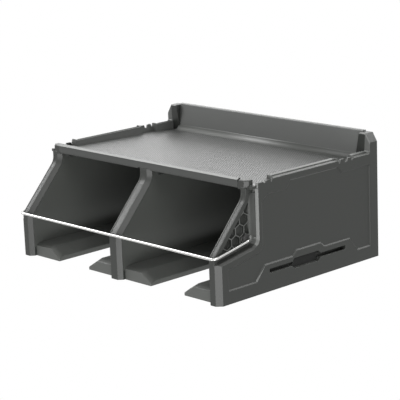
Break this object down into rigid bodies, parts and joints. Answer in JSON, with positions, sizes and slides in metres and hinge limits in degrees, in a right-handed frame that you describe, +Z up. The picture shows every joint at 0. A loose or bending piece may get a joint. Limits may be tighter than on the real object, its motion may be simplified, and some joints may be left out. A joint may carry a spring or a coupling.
{
  "type": "wall-mounted power tool rack",
  "caption": "Wall rack with open-fronted bays that cradle power tools by their grips, a swing-up wire bail that keeps them in, and a rimmed storage tray on top.",
  "frame": {"origin": "centre of the rectangle of wall screw holes, on the wall plane", "axes": "+X to the right seen from the front, +Y into the wall, +Z up; the open front faces -Y"},
  "size_m": [0.44, 0.3403, 0.192],
  "materials": {
    "shell_plastic": "moulded dark grey-black, finely grained",
    "bay_plastic": "moulded dark grey-black, satin",
    "deck_plastic": "moulded dark grey, semi-gloss with a knurled tray",
    "bush_plastic": "moulded black",
    "bright_wire": "bright plated steel wire",
    "clip_steel": "spring steel",
    "screw_steel": "zinc-plated steel"
  },
  "bodies": {
    "rack": {"left_side_panel": "shell_plastic", "right_side_panel": "shell_plastic", "left_inner_wall": "bay_plastic", "right_inner_wall": "bay_plastic", "centre_divider": "shell_plastic", "divider_cover": "bay_plastic", "tray_deck": "deck_plastic", "back_panel": "deck_plastic", "left_bay_floor": "bay_plastic", "right_bay_floor": "bay_plastic", "left_pivot_bush": "bush_plastic", "right_pivot_bush": "bush_plastic", "floor_screws": "screw_steel", "deck_screws": "screw_steel", "back_panel_screws": "screw_steel"},
    "bail": {"retaining_bail": "bright_wire", "left_bail_clip": "clip_steel", "right_bail_clip": "clip_steel"}
  },
  "joints": [
    {"name": "bail_swing", "type": "hinge", "parent": "rack", "child": "bail", "pos_m": [0, -0.268, -0.0035], "axis": [-1, 0, 0], "range_deg": [0, 95]}
  ]
}
